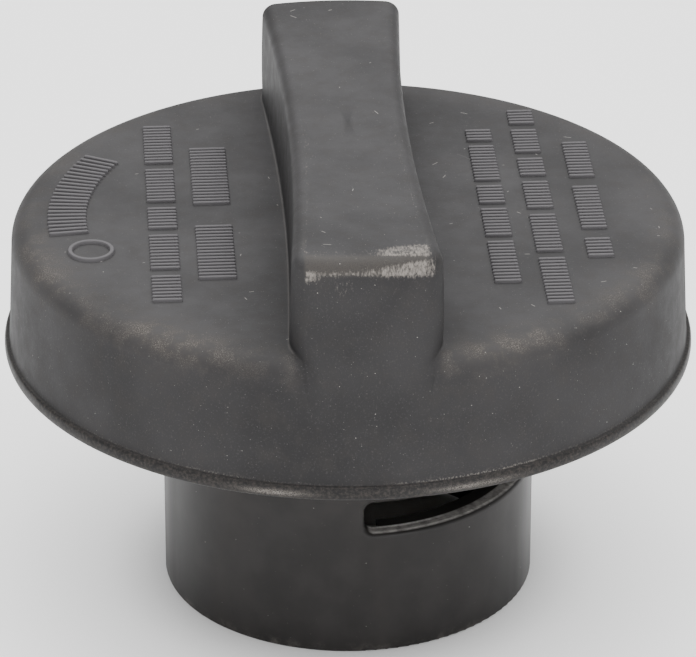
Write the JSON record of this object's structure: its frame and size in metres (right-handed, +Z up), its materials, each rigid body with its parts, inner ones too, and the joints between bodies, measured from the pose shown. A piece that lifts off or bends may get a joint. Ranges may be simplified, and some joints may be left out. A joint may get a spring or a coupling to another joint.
{
  "type": "fuel filler cap",
  "caption": "Round vehicle fuel filler cap with a hollow grip handle, a bayonet sleeve for the neck, a click ratchet and a pressure and vacuum valve inside.",
  "frame": {"origin": "centre of the lower rim of the sleeve, where the cap stands", "axes": "+Z up along the cap's axis, from the sleeve to the handle; the handle runs along Y"},
  "size_m": [0.084, 0.084, 0.0603],
  "materials": {
    "cover_plastic": "satin moulded plastic, scuffed on its edges",
    "sleeve_plastic": "smooth satin moulded plastic",
    "valve_plastic": "satin natural plastic",
    "poppet_plastic": "satin",
    "pawl_plastic": "satin",
    "gasket_rubber": "matt",
    "valve_metal": "pressed, satin",
    "spring_steel": "drawn wire"
  },
  "bodies": {
    "closure": {"closure_sleeve": "sleeve_plastic", "neck_gasket": "gasket_rubber", "valve_housing": "valve_plastic", "housing_o_ring": "gasket_rubber", "housing_lid": "valve_plastic", "pressure_spring": "spring_steel"},
    "cover": {"cover_shell": "cover_plastic", "pawl_ring": "pawl_plastic", "retaining_ring": "pawl_plastic"},
    "pressure_valve": {"pressure_valve_plate": "valve_metal", "valve_seal": "gasket_rubber", "vacuum_spring": "spring_steel"},
    "vacuum_poppet": {"vacuum_valve": "poppet_plastic", "spring_keeper": "valve_metal"}
  },
  "joints": [
    {"name": "cover_turn", "type": "hinge", "parent": "closure", "child": "cover", "pos_m": [0, 0, 0.0381], "axis": [0, 0, 1], "range_deg": [-360, 0], "deforming": ["pawl_ring"]},
    {"name": "pressure_lift", "type": "slide", "parent": "closure", "child": "pressure_valve", "axis": [0, 0, 1], "range_m": [0, 0.0016], "stiffness_N_per_m": 500, "springref_m": -0.003, "deforming": ["pressure_spring"]},
    {"name": "vacuum_drop", "type": "slide", "parent": "pressure_valve", "child": "vacuum_poppet", "axis": [0, 0, -1], "range_m": [0, 0.0012], "stiffness_N_per_m": 100, "springref_m": -0.002, "deforming": ["vacuum_spring"]}
  ]
}
